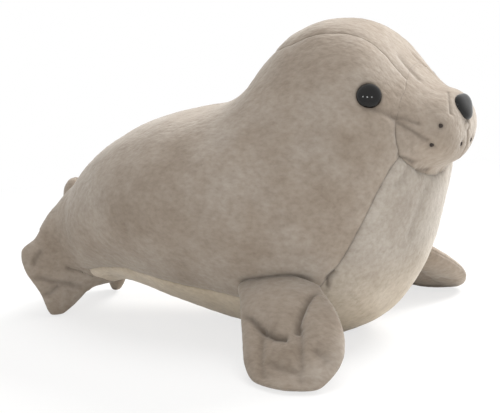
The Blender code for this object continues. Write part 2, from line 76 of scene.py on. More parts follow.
# Seams on the body, as (place along the body 0 to 1, angle in degrees from the belly line)
MUZZLE_SEAM = 0.90
MUZZLE_SEAM_BY_ANGLE = ((0, 0.878), (30, 0.872), (60, 0.852), (95, 0.888), (130, 0.902), (180, 0.898))
BELLY_SEAM = (
    (0, 20), (0.1, 33), (0.18, 43), (0.25, 51), (0.43, 54), (0.52, 56), (0.64, 53), (0.74, 57), (0.9, 60),
)
GUSSET_START = 0.60
GUSSET_HALF_ANGLE = ((0.60, 0), (0.667, 20), (0.70, 25.5), (0.80, 28), (0.87, 29), (0.90, 35))

# Folds of the plush on each side as ((place, angle), ...), depth, half width and the darkness of
# the shade painted in them: under the eye, two darts at the corner of the mouth, beside the nose, two
# folds of the chin, the crumple of the forehead, the gather at the front of the flipper, and the throat
FOLDS = (
    (((0.854, 97), (0.876, 95), (0.899, 94)), 1.0, 2.4, 0.30),
    (((0.892, 95.5), (0.906, 97), (0.916, 97.5), (0.928, 99)), 0.9, 1.9, 0.32),
    (((0.903, 90), (0.914, 88), (0.924, 86.5), (0.934, 83.5), (0.946, 78)), 1.0, 1.7, 0.40),
    (((0.947, 165), (0.955, 148), (0.965, 127)), 0.7, 1.1, 0.45),
    (((0.896, 62), (0.906, 56), (0.910, 49)), 1.2, 1.6, 0.45),
    (((0.900, 38.5), (0.905, 32), (0.910, 26.5)), 1.2, 1.8, 0.40),
    (((0.884, 164.5), (0.898, 162), (0.912, 159)), 0.9, 2.0, 0.25),
    (((0.672, 54.0), (0.660, 54.5), (0.649, 51.5)), 1.8, 1.8, 0.55),
    (((0.868, 22), (0.845, 24), (0.815, 25), (0.78, 25)), 0.9, 4.0, 0.12),
    (((0.886, 50), (0.872, 48), (0.850, 50)), 0.9, 3.0, 0.15),
)

# Front flipper: root place on the body, directions as (outwards, forward, up) and outline in its
# own plane as (along, across) shares of its length and width
FRONT_ROOT = (0.585, 64.5)
FRONT_SIZE = (76, 70.5)
FRONT_ALONG = (0.750, 0.142, -0.646)
FRONT_ACROSS = (-0.095, 0.990, 0.107)
FRONT_OUTLINE = (
    (-0.020, -0.298), (0.184, -0.262), (0.474, -0.170), (0.724, -0.085), (0.908, 0.071), (1.000, 0.310),
    (0.915, 0.567), (0.724, 0.702), (0.513, 0.695), (0.276, 0.582), (0.110, 0.440), (0.035, 0.365),
    (-0.065, 0.080),
)
FRONT_THICK = (17, 11)
FRONT_REST = 2.2

# Creases of a front flipper as (along, across): the folded V of its upper face, then the fingers
FRONT_FOLDS = (
    ((24, -13), (27, -7), (33, -0.5), (37, 5), (40.5, 11), (41.5, 17)),
    ((11, 29.5), (14, 27), (20, 25.5), (28, 24), (33, 23), (37, 23)),
)
FRONT_FINGERS = (
    ((35, 2), (45, 4), (57, 6), (64, 8)),
    ((36, 25), (43, 26.5), (58, 29), (67, 30)),
    ((56, 10), (60, 20), (61.5, 28)),
    ((49, 36), (55, 42.5)),
)

# How those creases look: dents as (depth, half width), how far the stuffing puffs out between
# them, and the shade painted in them as (darkness, half width)
FRONT_FOLD_LOOK = (((2.4, 1.9), (2.2, 6.5)), 0, (0.6, 1.9))
FRONT_FINGER_LOOK = (((1.2, 2.0), (1.6, 6)), 1.2, (0.28, 2.0))
FRONT_UNDER_LOOK = ((0.9, 3.0), 0.3, (0.15, 1.5))

# Root of a front flipper: the middle and half width that stay full, how far the seam draws the
# root in along the flipper, its depth in the middle and how much deeper it is at the two ends
FRONT_ROOT_MIDDLE = 7
FRONT_ROOT_HALF = 27
FRONT_ROOT_REACH = 12
FRONT_ROOT_DEPTH = (1.6, 6.0)

# Hind flipper and the folds on its outer face
HIND_ROOT = (0.088, 60)
HIND_SINK = 12.5
HIND_SIZE = (46.5, 64.5)
HIND_ALONG = (0.444, -0.800, -0.403)
HIND_ACROSS = (0.114, -0.396, 0.911)
HIND_OUTLINE = (
    (-0.172, 0.341), (0.194, 0.388), (0.430, 0.326), (0.645, 0.225), (0.903, 0.171), (1.000, -0.031),
    (0.957, -0.295), (0.978, -0.512), (0.914, -0.612), (0.645, -0.581), (0.280, -0.488), (-0.172, -0.388),
)
HIND_THICK = (15, 8)
HIND_REST = 0.4
HIND_FOLDS = (
    ((18, -12), (16, -14), (10, -18), (4, -23)),
    ((42, -9), (38, -10), (32, -16), (24, -21), (17, -27.5)),
    ((43, -21), (37, -21.5), (31, -20)),
    ((38, 0), (35, 2.5), (30, 5)),
)
# The hind folds look the same way: dents, puff, and the shade painted in them
HIND_OUTER_LOOK = (((1.6, 2.0), (0.9, 6.0)), 0.4, (0.32, 2.0))
HIND_INNER_LOOK = (((0.6, 5.0),), 0.2, (0.1, 2.0))

# Every flipper: how sharply it bends to lie on the ground, the first ring round the middle of a
# face, how square the pillow is towards its rim, how late the creases fade there, and the rim seam
REST_BEND = 1.0
FIRST_RING = 0.06
PILLOW_POWER = 2.6
CREASE_POWER = 6
RIM_CREVICE = (0.45, 0.8)
RIM_ROLL = (0.25, 2.2)

# Smooth join of a hind flipper with the body: its reach, how far inside the other solid points
# still move, the rounds that it takes, and how points inside sink so that only one sheet shows
HIND_MELT = 15
MELT_INSIDE = 2.5
MELT_ROUNDS = 4
MELT_SINK = 0.5
MELT_SINK_REACH = 3

# Tail tab, eyes, nose and whisker dots
TAIL_PLACE = (0.030, 180)
TAIL_SIZE = (18, 14, 23)
TAIL_LIFT = 2.4
TAIL_SEAM = (0.5, 0.7)
# Shade painted along the tail tab's seam as (darkness, width)
TAIL_SEAM_SHADE = (0.5, 0.6)
EYE_PLACE = (0.847, 106)
EYE_DIAMETER = 14
EYE_HEIGHT = 4.6
EYE_SINK = 2.2
EYE_BACK = 1.5
NOSE_PLACE = (0.977, 180)
NOSE_WIDTH = 21
NOSE_HEIGHT = 15
NOSE_DEPTH = 2.2
NOSE_SINK = 0.6
NOSE_BACK = 2.0
NOSE_CORNERS = 0.09
NOSE_FLATNESS = 0.8
DOT_PLACES = ((0.957, 100), (0.953, 69), (0.984, 26))
DOT_DIAMETER = 2.4
DOT_SINK = 0.75
DOT_FLATNESS = 0.55
DOT_LUMPS = (0.18, 0.8)

# Lumps of stuffing and nap as (height, size across, seed), and how far the nap is drawn out
LUMPS = ((0.50, 36, 1), (0.22, 14, 2))
NAP = ((0.10, 2.8, 3), (0.08, 1.6, 4))
NAP_COMBED = (1.0, 0.7, 0.9)

# Seams of the body: crevice and rolled edges as (depth, half width), puckers as (depth, size),
# painted shade in the crevice as (darkness, half width), and how open a seam is where the pile hides it
SEAM_CREVICE = (0.75, 0.8)
SEAM_ROLL = (0.6, 3.4)
SEAM_PUCKERS = (0.24, 3.2)
SEAM_SHADE = (0.42, 0.7)
SEAM_HIDDEN = 0.1

# The muzzle's seam fades and the crown begins at an angle from the belly line, over a span of
# angles, in radians. On the crown the seams' painted shade is lighter and the seams are less deep by these
# amounts
MUZZLE_SEAM_FADE = (1.85, 0.45)
CROWN_START = (1.9, 0.4)
CROWN_LESS_DARK = 0.28
CROWN_LESS_DEEP = 0.5

# Seam from the nose over the lip to the chin, as places on the back line and on the belly line
LIP_SEAM_BACK = (0.992, 1.0)
LIP_SEAM_BELLY = (1.0, 0.97, 0.93, 0.9)

# Dents and painted shades round the features as (depth or darkness, half width). The painted shade
# at the rim of an eye has its radius too
EYE_SOCKET = (1.7, 7.6)
EYE_HOLLOW = (0.5, 16)
EYE_RIM = (0.55, 1.1)
EYE_RIM_RADIUS = 7.0
DOT_DIMPLE = (0.8, 2.4)
DOT_SHADE = (0.5, 1.9)
ROOT_DENT = (1.3, 2.2)
ROOT_SHADE = (0.4, 1.3)
ROOT_SHADE_ON_FLIPPER = (0.35, 1.2)
LIP_DENT = (0.9, 1.5)
LIP_SHADE = (0.45, 1.0)
NOSE_BED = (1.0, 9.5)

# Mesh steps
BODY_ROWS = 405
SIDE_COLUMNS = 180
BELLY_COLUMNS = 180
GUSSET_COLUMNS = 80
MUZZLE_ROWS = 60
MUZZLE_COLUMNS = 360
FLIPPER_SPOKES = 260
FLIPPER_RINGS = 70
COARSE_ROWS = 161
COARSE_TURNS = 144


def linear(code):
    """An sRGB hex colour as linear red, green, blue and alpha."""
    values = [int(code[i:i + 2], 16) / 255 for i in (1, 3, 5)]
    return (*[v / 12.92 if v <= 0.04045 else ((v + 0.055) / 1.055) ** 2.4 for v in values], 1.0)


# Shape of the body

def smooth_curve(knots, values, at):
    """Values on a smooth curve through the knots."""
    knots = np.asarray(knots, float)
    values = np.asarray(values, float)
    steps = np.diff(knots)
    slopes = np.diff(values, axis=0) / steps[:, None]
    tangents = np.zeros_like(values)
    tangents[0] = slopes[0]
    tangents[-1] = slopes[-1]
    weight = steps[:-1] + steps[1:]
    tangents[1:-1] = (slopes[:-1] * steps[1:, None] + slopes[1:] * steps[:-1, None]) / weight[:, None]
    index = np.clip(np.searchsorted(knots, at, side="right") - 1, 0, len(knots) - 2)
    span = steps[index][:, None]
    t = (at - knots[index])[:, None] / span
    start = (2 * t**3 - 3 * t**2 + 1) * values[index] + (t**3 - 2 * t**2 + t) * span * tangents[index]
    end = (3 * t**2 - 2 * t**3) * values[index + 1] + (t**3 - t**2) * span * tangents[index + 1]
    return start + end


def stations():
    """The stations in millimetres, and the place of each one from 0 at the tail to 1 at the nose."""
    sizes = (BODY_LENGTH, BODY_HEIGHT, BODY_LENGTH, BODY_HEIGHT, BODY_WIDTH / 2, 1)
    rows = np.array(STATIONS) * sizes + (BODY_AHEAD, 0, BODY_AHEAD, 0, 0, 0)
    back = np.linalg.norm(np.diff(rows[:, 0:2], axis=0), axis=1)
    belly = np.linalg.norm(np.diff(rows[:, 2:4], axis=0), axis=1)
    length = np.concatenate([[0.0], np.cumsum((back + belly) / 2)])
    return rows, length / length[-1]


def along_table(table, at):
    places, values = zip(*table)
    return np.interp(at, places, values)


def sections(place, angle):
    """The station values where a place and an angle fall, with the muzzle seam's bends put in."""
    from_belly = np.degrees(np.abs((angle + math.pi) % math.tau - math.pi))
    seam = along_table(MUZZLE_SEAM_BY_ANGLE, from_belly)
    behind = place / MUZZLE_SEAM * seam
    ahead = seam + (place - MUZZLE_SEAM) / (1 - MUZZLE_SEAM) * (1 - seam)
    rows, places = stations()
    return smooth_curve(places, rows, np.where(place <= MUZZLE_SEAM, behind, ahead))


def surface(place, angle):
    """Points of the body in millimetres. Angle 0 is the belly line and pi the back, + to the left."""
    place, angle = np.broadcast_arrays(np.asarray(place, float), np.asarray(angle, float))
    turn = angle.ravel()
    rows = sections(place.ravel(), turn)
    back, belly, half, fullness = rows[:, 0:2], rows[:, 2:4], rows[:, 4], rows[:, 5]
    height = -np.cos(turn)
    across = half * np.sin(turn) * (1 - fullness * height)
    profile = (back + belly) / 2 + (back - belly) / 2 * height[:, None]
    points = np.stack([across, -profile[:, 0], np.maximum(profile[:, 1], 0)], axis=-1)
    return points.reshape(place.shape + (3,))


def normals(place, angle):
    step = 1e-4
    lengthwise = surface(np.minimum(place + step, 1.0), angle) - surface(np.maximum(place - step, 0.0), angle)
    crosswise = surface(place, angle + step) - surface(place, angle - step)
    cross = np.cross(crosswise, lengthwise)
    return cross / np.linalg.norm(cross, axis=-1, keepdims=True)


def frame_on_body(place, degrees, sink, side):
    """A point under the surface and the outward normal there. Side is -1 on the seal's right."""
    place = np.array([place])
    angle = np.array([math.radians(degrees) * side])
    normal = normals(place, angle)[0]
    return surface(place, angle)[0] - sink * normal, normal


# Noise, distance and grids

def value_noise(points, scale, seed):
    """Smooth noise from -1 to 1 at each point, with lumps of about the scale in millimetres."""
    at = np.asarray(points, float) / scale + seed * 17.3
    cell = np.floor(at).astype(np.int64)
    part = at - cell
    part = part * part * (3 - 2 * part)
    total = np.zeros(len(at))
    for corner in range(8):
        step = np.array([corner & 1, corner >> 1 & 1, corner >> 2 & 1])
        key = (cell + step) @ np.array([73856093, 19349663, 83492791])
        key = (key ^ (key >> 13)) * 1274126177
        value = ((key ^ (key >> 16)) & 0xFFFF) / 32767.5 - 1
        weight = np.where(step == 1, part, 1 - part).prod(axis=1)
        total += value * weight
    return total


def distance_to_line(points, line):
    """Distance from points to a polyline, in the plane or in space."""
    line = np.asarray(line, float)
    best = np.full(len(points), 1e9)
    for start, end in zip(line[:-1], line[1:]):
        run = end - start
        t = np.clip((points - start) @ run / (run @ run), 0, 1)
        best = np.minimum(best, np.linalg.norm(points - start - t[:, None] * run, axis=1))
    return best


def bell(distance, width):
    return np.exp(-((distance / width) ** 2))


def soft_spot(distance, size):
    """A soft dent or shade from its size as (depth or darkness, half width)."""
    return size[0] * bell(distance, size[1])


def crevice(distance, size):
    """A sharp dent or shade from its size as (depth or darkness, half width)."""
    return size[0] * np.exp(-distance / size[1])


def arc_length(grid, axis):
    """Distance along the rows or columns of a grid of points."""
    steps = np.linalg.norm(np.diff(grid, axis=axis), axis=2)
    zeros = np.zeros_like(np.take(steps, [0], axis=axis))
    return np.cumsum(np.concatenate([zeros, steps], axis=axis), axis=axis)


def ring_faces(rows, cells, first=0):
    faces = []
    for i in range(rows - 1):
        for j in range(cells):
            a = first + i * cells + j
            b = first + i * cells + (j + 1) % cells
            faces.append((a, b, b + cells, a + cells))
    return faces


def deselect():
    if bpy.context.mode != "OBJECT":
        bpy.ops.object.mode_set(mode="OBJECT")
    bpy.ops.object.select_all(action="DESELECT")


def add_values(mesh, values):
    """Stores point values as attributes for the materials to read."""
    for key, value in values.items():
        layer = mesh.attributes.new(key, "FLOAT", "POINT")
        layer.data.foreach_set("value", np.asarray(value, np.float32))


def stuffed_object(name, points, faces, values, merge=True):
    """A closed smooth object from points in millimetres, with its point values as attributes."""
    mesh = bpy.data.meshes.new(name)
    mesh.from_pydata([tuple(point) for point in points * MM], [], faces)
    add_values(mesh, values)
    shape = bmesh.new()
    shape.from_mesh(mesh)
    if merge:
        bmesh.ops.remove_doubles(shape, verts=shape.verts, dist=2e-6)
    bmesh.ops.recalc_face_normals(shape, faces=shape.faces)
    if shape.calc_volume(signed=True) < 0:
        bmesh.ops.reverse_faces(shape, faces=shape.faces)
    shape.to_mesh(mesh)
    shape.free()
    mesh.shade_smooth()
    obj = bpy.data.objects.new(name, mesh)
    bpy.context.scene.collection.objects.link(obj)
    return obj


def points_of(obj):
    flat = np.empty(len(obj.data.vertices) * 3)
    obj.data.vertices.foreach_get("co", flat)
    return flat.reshape(-1, 3) / MM


def normals_of(obj):
    flat = np.empty(len(obj.data.vertices) * 3)
    obj.data.vertex_normals.foreach_get("vector", flat)
    return flat.reshape(-1, 3)


def set_points(obj, points):
    obj.data.vertices.foreach_set("co", (points * MM).ravel())
    obj.data.update()


def tree_of(points, faces):
    """A search tree over a solid's faces, all turned to look outwards."""
    corners = np.array([face[:3] for face in faces])
    a, b, c = (points[corners[:, k]] for k in range(3))
    middle = points.mean(axis=0)
    if (np.cross(b - a, c - a) * (a - middle)).sum() < 0:
        faces = [tuple(reversed(face)) for face in faces]
    return BVHTree.FromPolygons([tuple(point) for point in points], faces)


def signed_distance(tree, points, reach=60):
    """Distance outside a solid, below 0 inside it, and the direction away from its surface."""
    distance = np.full(len(points), float(reach))
    away = np.zeros((len(points), 3))
    for index, point in enumerate(points):
        near, normal, _, gap = tree.find_nearest(point, reach)
        if near is None:
            continue
        out = Vector(point) - near
        sign = 1 if out.dot(normal) >= 0 else -1
        distance[index] = sign * gap
        away[index] = out * sign / gap if gap > 1e-3 else normal
    return distance, away


def melt(points, body_tree, flipper_tree, partner_tree):
    """Moves the points of one stuffed solid that are near its partner on to one smooth surface over
    both. Gives the points, their normals on that surface, and which of them moved."""
    least_slope = 0.2
    normal = np.zeros_like(points)
    moved = np.zeros(len(points), bool)
    gap, _ = signed_distance(partner_tree, points, HIND_MELT * 1.5)
    near = np.flatnonzero((gap > -MELT_INSIDE) & (gap < HIND_MELT))
    for _ in range(MELT_ROUNDS):
        to_body, from_body = signed_distance(body_tree, points[near])
        to_flipper, from_flipper = signed_distance(flipper_tree, points[near])
        share = np.clip(0.5 + 0.5 * (to_flipper - to_body) / HIND_MELT, 0, 1)
        value = share * to_body + (1 - share) * to_flipper - HIND_MELT * share * (1 - share)
        slope = share[:, None] * from_body + (1 - share)[:, None] * from_flipper
        size = np.maximum((slope**2).sum(axis=1), least_slope)
        points[near] -= (value / size)[:, None] * slope
        normal[near] = slope / np.sqrt(size)[:, None]
    points[near] -= MELT_SINK * np.clip(-gap[near], 0, MELT_SINK_REACH)[:, None] * normal[near]
    moved[near] = True
    return points, normal, moved


# Relief of the plush

def noise_sum(points, waves):
    return sum(height * value_noise(points, size, seed) for height, size, seed in waves)


def plush_relief(points):
    """Soft lumps of stuffing and the fine nap."""
    return noise_sum(points, LUMPS) + noise_sum(points * np.array(NAP_COMBED), NAP)


def seam_relief(distance, points):
    """Depth of a sewn seam: a fine crevice between two rolled edges with small puckers."""
    depth = crevice(distance, SEAM_CREVICE) + soft_spot(distance, SEAM_ROLL)
    pucker, size = SEAM_PUCKERS
    return depth + pucker * value_noise(points, size, 5) * bell(distance, SEAM_ROLL[1])


def seam_shade(distance, points):
    """How dark the shade painted along a seam is, which the pile hides in places."""
    return np.exp(-distance / SEAM_SHADE[1]) * (0.75 + 0.35 * value_noise(points, 5, 6))


def muzzle_seam_share(angle):
    """The muzzle's seam shows by the chin, and the pile is brushed over it further up."""
    start, span = MUZZLE_SEAM_FADE
    return np.clip((start - np.abs(angle)) / span, 0.05, 1)


def line_on_body(table, side, count=14):
    """Points along a line given by places and angles on one side of the body."""
    places, degrees = np.array(table, float).T
    share = np.linspace(0, 1, count)
    knots = np.linspace(0, 1, len(places))
    return surface(np.interp(share, knots, places), side * np.radians(np.interp(share, knots, degrees)))


def feature_relief(points, side):
    """Depth and painted shade of the folds, the eye's socket and the dots on one side of the body."""
    depth = np.zeros(len(points))
    dark = np.zeros(len(points))
    for table, deep, wide, shade in FOLDS:
        distance = distance_to_line(points, line_on_body(table, side))
        depth += deep * bell(distance, wide)
        dark = np.maximum(dark, shade * bell(distance, wide * 0.7))
    eye_centre, _ = frame_on_body(*EYE_PLACE, 0, side)
    away = np.linalg.norm(points - eye_centre, axis=1)
    depth += EYE_SOCKET[0] * bell(away, EYE_SOCKET[1]) ** 2 + soft_spot(away, EYE_HOLLOW)
    dark = np.maximum(dark, soft_spot(away - EYE_RIM_RADIUS, EYE_RIM))
    for place in DOT_PLACES:
        dot, _ = frame_on_body(*place, 0, side)
        away = np.linalg.norm(points - dot, axis=1)
        depth += soft_spot(away, DOT_DIMPLE)
        dark = np.maximum(dark, soft_spot(away, DOT_SHADE))
    return depth, dark


# Sewn panels of the body

def edge_shares(columns):
    """Shares across a panel, closer together by its seams."""
    share = np.linspace(0, 1, columns + 1)
    return share - 0.5 * np.sin(math.tau * share) / math.tau


def press_front_root(points, depth, dark, side, flipper_tree):
    """Draws the plush in along the root of a front flipper, near which low points ahead lie, and paints shade
    along it.
    """
    beside = np.flatnonzero((points[:, 1] < 0) & (points[:, 2] < 70) & (points[:, 0] * side > 20))
    gap, _ = signed_distance(flipper_tree, points[beside], 12)
    outside = np.maximum(gap, 0)
    depth[beside] += soft_spot(outside, ROOT_DENT)
    dark[beside] = np.maximum(dark[beside], soft_spot(outside, ROOT_SHADE))


def join_hind_root(points, normal, side, body_tree, flipper_tree):
    """Moves the plush by a hind flipper's root on to the smooth join, near which points behind lie."""
    behind = np.flatnonzero((points[:, 1] > 60) & (points[:, 0] * side > -5))
    melted, slope, moved = melt(points[behind], body_tree, flipper_tree, flipper_tree)
    points[behind] = melted
    normal[behind[moved]] = slope[moved]


def sewn_panel(name, rows, low, high, columns, sides, trees):
    """One panel from seam to seam, closed inside along the middle of the body."""
    angle = low[:, None] + (high - low)[:, None] * edge_shares(columns)
    place = np.repeat(rows[:, None], columns + 1, axis=1)
    grid = surface(place, angle)
    across = arc_length(grid, 1)
    along = arc_length(grid, 0)
    to_side = np.minimum(across, across[:, -1:] - across).ravel()
    to_muzzle = (along[-1:] - along).ravel()
    points = grid.reshape(-1, 3)
    normal = normals(place, angle).reshape(-1, 3)
    body_tree, hind_trees, front_trees = trees

    low_down = muzzle_seam_share(angle).ravel()
    crown_start, crown_span = CROWN_START
    on_crown = np.clip((np.abs(angle) - crown_start) / crown_span, 0, 1).ravel()
    # Painted shade along the side seams, fainter on the crown, and along the muzzle's seam
    dark = (SEAM_SHADE[0] - CROWN_LESS_DARK * on_crown) * seam_shade(to_side, points)
    dark = np.maximum(dark, SEAM_SHADE[0] * low_down * seam_shade(to_muzzle, points))
    depth = seam_relief(to_side, points) * (1 - CROWN_LESS_DEEP * on_crown)
    open_share = SEAM_HIDDEN + (1 - SEAM_HIDDEN) * low_down
    depth = np.maximum(depth, seam_relief(to_muzzle, points) * open_share)
    for side in sides:
        more, shade = feature_relief(points, side)
        depth += more
        dark = np.maximum(dark, shade)
        press_front_root(points, depth, dark, side, front_trees[side])
        join_hind_root(points, normal, side, body_tree, hind_trees[side])
    points = points + normal * (plush_relief(points) - depth)[:, None]
    points[:, 2] = np.maximum(points[:, 2], 0.0)

    cells = columns + 2
    middle = (surface(rows, 0.0) + surface(rows, math.pi)) / 2
    rings = np.concatenate([points.reshape(len(rows), -1, 3), middle[:, None, :]], axis=1)
    faces = ring_faces(len(rows), cells)
    for first in (0, (len(rows) - 1) * cells):
        faces += [(first + j, first + j + 1, first + columns + 1) for j in range(columns)]
    whole = np.zeros((len(rows), cells))
    whole[:, :-1] = dark.reshape(len(rows), -1)
    cream = np.zeros((len(rows), cells))
    # Where the belly's own cream shows; ahead of it the chest keeps its greyer colours of painted shade
    cream[:, :-1] = np.clip((0.80 - 0.10 * np.abs(angle) - place) / 0.16, 0, 1)
    values = {"dark": whole.ravel(), "cream": cream.ravel()}
    return stuffed_object(name, rings.reshape(-1, 3), faces, values)


def rounded_tip(grid, normal):
    """Adds rings that close over the tip of the snout, and their normals."""
    bulge = 0.9
    tip = grid[-1].mean(axis=0)
    ahead = np.array([0, -1.0, 0])
    rings, ring_normals = [grid], [normal]
    for inset in (0.85, 0.7, 0.55, 0.4, 0.25, 0.12):
        rings.append((tip + (grid[-1] - tip) * inset + bulge * (1 - inset**2) * ahead)[None])
        turned = normal[-1] * inset + ahead * (1 - inset)
        ring_normals.append((turned / np.linalg.norm(turned, axis=1, keepdims=True))[None])
    return np.concatenate(rings), np.concatenate(ring_normals)


def muzzle():
    """The muzzle cap, closed at its seam and over the tip of the snout."""
    rows = MUZZLE_SEAM + (1 - MUZZLE_SEAM) * np.linspace(0, 1, MUZZLE_ROWS + 1) ** 1.15
    turns = np.linspace(-math.pi, math.pi, MUZZLE_COLUMNS, endpoint=False)
    place, angle = (part.astype(float) for part in np.broadcast_arrays(rows[:, None], turns[None, :]))
    grid, normal = rounded_tip(surface(place, angle), normals(place, angle))
    along = arc_length(grid, 0).ravel()
    points = grid.reshape(-1, 3)
    normal = normal.reshape(-1, 3)

    low_down = np.resize(muzzle_seam_share(turns), len(points))
    depth = seam_relief(along, points) * (SEAM_HIDDEN + (1 - SEAM_HIDDEN) * low_down)
    # Painted shade along the muzzle's seam
    dark = SEAM_SHADE[0] * low_down * seam_shade(along, points)
    for side in (-1, 1):
        more, shade = feature_relief(points, side)
        depth += more
        dark = np.maximum(dark, shade)
    back, belly = surface(np.array(LIP_SEAM_BACK), math.pi), surface(np.array(LIP_SEAM_BELLY), 0.0)
    distance = distance_to_line(points, np.concatenate([back, belly]))
    depth += soft_spot(distance, LIP_DENT)
    # Painted shade along the lip seam
    dark = np.maximum(dark, soft_spot(distance, LIP_SHADE))
    gusset_end = math.pi - math.radians(GUSSET_HALF_ANGLE[-1][1])
    for side in (-1, 1):
        distance = distance_to_line(points, surface(np.array([0.88, MUZZLE_SEAM]), side * gusset_end))
        depth = np.maximum(depth, 0.65 * seam_relief(distance, points))
    bed, _ = frame_on_body(*NOSE_PLACE, 0, 1)
    depth += NOSE_BED[0] * bell(np.linalg.norm(points - bed, axis=1), NOSE_BED[1]) ** 2
    points = points + normal * (plush_relief(points) - depth)[:, None]

    faces = ring_faces(len(grid), len(turns))
    for first, centre in ((0, len(points)), (len(points) - len(turns), len(points) + 1)):
        faces += [(first + j, first + (j + 1) % len(turns), centre) for j in range(len(turns))]
    ends = [points[:len(turns)].mean(axis=0), points[-len(turns):].mean(axis=0)]
    points = np.concatenate([points, ends])
    dark = np.append(dark, (0, dark[-1]))
    return stuffed_object("muzzle", points, faces, {"dark": dark, "cream": np.zeros(len(points))})


# Flippers

class Paddle:
    """A pillow in its own plane: along runs to the tip and across runs forwards."""

    def __init__(self, root, side, along, across, outline, size, thick, rest):
        mirror = np.array([side, -1.0, 1.0])
        self.root = root
        self.along = np.array(along) * mirror
        self.across = np.array(across) * mirror
        self.up = np.cross(self.across, self.along) * side
        self.along /= np.linalg.norm(self.along)
        self.across /= np.linalg.norm(self.across)
        self.up /= np.linalg.norm(self.up)
        knots = np.array(outline) * size
        looped = np.concatenate([knots[-2:], knots, knots[:3]])
        at = 2 + np.linspace(0, len(knots), FLIPPER_SPOKES, endpoint=False)
        self.outline = smooth_curve(np.arange(len(looped), dtype=float), looped, at)
        self.thick = (thick[0] / 2, thick[1] / 2)
        self.rest = rest

    def in_space(self, flat, lift):
        points = self.root + flat[:, :1] * self.along + flat[:, 1:] * self.across
        over = points[:, 2] - self.rest
        points[:, 2] = self.rest + (over + np.hypot(over, REST_BEND)) / 2
        return points + lift[:, None] * self.up

    def solid(self, relief):
        """Points and faces of the closed pillow, with the shade painted in its folds at each point."""
        centre = self.outline.mean(axis=0)
        spokes = self.outline - centre
        shares = np.sin(np.linspace(FIRST_RING, math.pi / 2, FLIPPER_RINGS))
        length = self.outline[:, 0].max()
        sheets, darks = [], []
        for outwards in (1, -1):
            points, dark = [], []
            for share in (0.0, *shares):
                flat = centre + spokes * share if share else centre[None, :]
                tip = np.clip(flat[:, 0] / length, 0, 1)
                full = self.thick[0] + (self.thick[1] - self.thick[0]) * tip
                deep, shade = relief(flat, outwards)
                fade = 1 - share**CREASE_POWER
                lift = (full - deep * fade) * math.sqrt(max(1 - share**PILLOW_POWER, 0))
                points.append(self.in_space(flat, outwards * lift))
                dark.append(shade * fade)
            sheets.append(np.concatenate(points))
            darks.append(np.concatenate(dark))
        last = 1 + (FLIPPER_RINGS - 1) * FLIPPER_SPOKES
        dome = [(0, 1 + j, 1 + (j + 1) % FLIPPER_SPOKES) for j in range(FLIPPER_SPOKES)]
        dome += ring_faces(FLIPPER_RINGS, FLIPPER_SPOKES, 1)
        faces = list(dome)
        for face in dome:
            faces.append(tuple(c if c >= last else c + len(sheets[0]) for c in reversed(face)))
        points = np.concatenate([sheets[0], sheets[1][:last]])
        points[:, 2] = np.maximum(points[:, 2], 0.0)
        return points, faces, np.concatenate([darks[0], darks[1][:last]])


def nearest_of(flat, lines):
    return np.min([distance_to_line(flat, line) for line in lines], axis=0)


def crease_relief(distance, look):
    """Depth and painted shade by the distance from a face's creases."""
    dents, puff, shade = look
    return sum(soft_spot(distance, size) for size in dents) - puff, soft_spot(distance, shade)


def front_relief(flat, outwards):
    """The folded V across a front flipper, its finger lines, and the root drawn in at its ends."""
    fingers = nearest_of(flat, FRONT_FINGERS)
    ends = np.clip(np.abs(flat[:, 1] - FRONT_ROOT_MIDDLE) / FRONT_ROOT_HALF, 0, 1) ** 2
    middle_depth, end_depth = FRONT_ROOT_DEPTH
    deep = bell(np.maximum(flat[:, 0] + 2, 0), FRONT_ROOT_REACH) * (middle_depth + end_depth * ends)
    if outwards < 0:
        dent, puff, shade = FRONT_UNDER_LOOK
        return deep + soft_spot(fingers, dent) - puff, soft_spot(fingers, shade)
    fold_depth, fold_dark = crease_relief(nearest_of(flat, FRONT_FOLDS), FRONT_FOLD_LOOK)
    finger_depth, finger_dark = crease_relief(fingers, FRONT_FINGER_LOOK)
    return deep + fold_depth + finger_depth, np.maximum(fold_dark, finger_dark)


def hind_relief(flat, outwards):
    """The soft folds across a hind flipper, deeper on its outer face."""
    return crease_relief(nearest_of(flat, HIND_FOLDS), HIND_INNER_LOOK if outwards > 0 else HIND_OUTER_LOOK)


def front_paddle(side):
    root, _ = frame_on_body(*FRONT_ROOT, 0, side)
    return Paddle(root, side, FRONT_ALONG, FRONT_ACROSS, FRONT_OUTLINE, FRONT_SIZE, FRONT_THICK, FRONT_REST)


def hind_paddle(side):
    root, _ = frame_on_body(*HIND_ROOT, HIND_SINK, side)
    return Paddle(root, side, HIND_ALONG, HIND_ACROSS, HIND_OUTLINE, HIND_SIZE, HIND_THICK, HIND_REST)


def finish_flipper(name, paddle, points, faces, dark, join=None):
    """Adds the rim seam, the lumps and the nap to a flipper's points. A join is the normals of the
    points and which of them lie on the smooth join with the body, where no rim seam shows."""
    values = {"dark": dark, "cream": np.zeros(len(points))}
    obj = stuffed_object(name, points, faces, values, merge=False)
    outwards = normals_of(obj)
    rim = paddle.in_space(paddle.outline, np.zeros(FLIPPER_SPOKES))
    rim[:, 2] = np.maximum(rim[:, 2], 0.0)
    distance = distance_to_line(points, np.concatenate([rim, rim[:1]]))
    depth = crevice(distance, RIM_CREVICE) + soft_spot(distance, RIM_ROLL)
    if join:
        normal, moved = join
        outwards[moved] = normal[moved]
        depth[moved] = 0
    points = points + outwards * (plush_relief(points) - depth)[:, None]
    points[:, 2] = np.maximum(points[:, 2], 0.0)
    set_points(obj, points)
    return obj


def front_flipper(name, side, body_tree):
    paddle = front_paddle(side)
    points, faces, dark = paddle.solid(front_relief)
    gap, _ = signed_distance(body_tree, points, 8)
    # Painted shade on the flipper where it meets the body
    dark = np.maximum(dark, soft_spot(np.maximum(gap, 0), ROOT_SHADE_ON_FLIPPER))
    return finish_flipper(name, paddle, points, faces, dark)


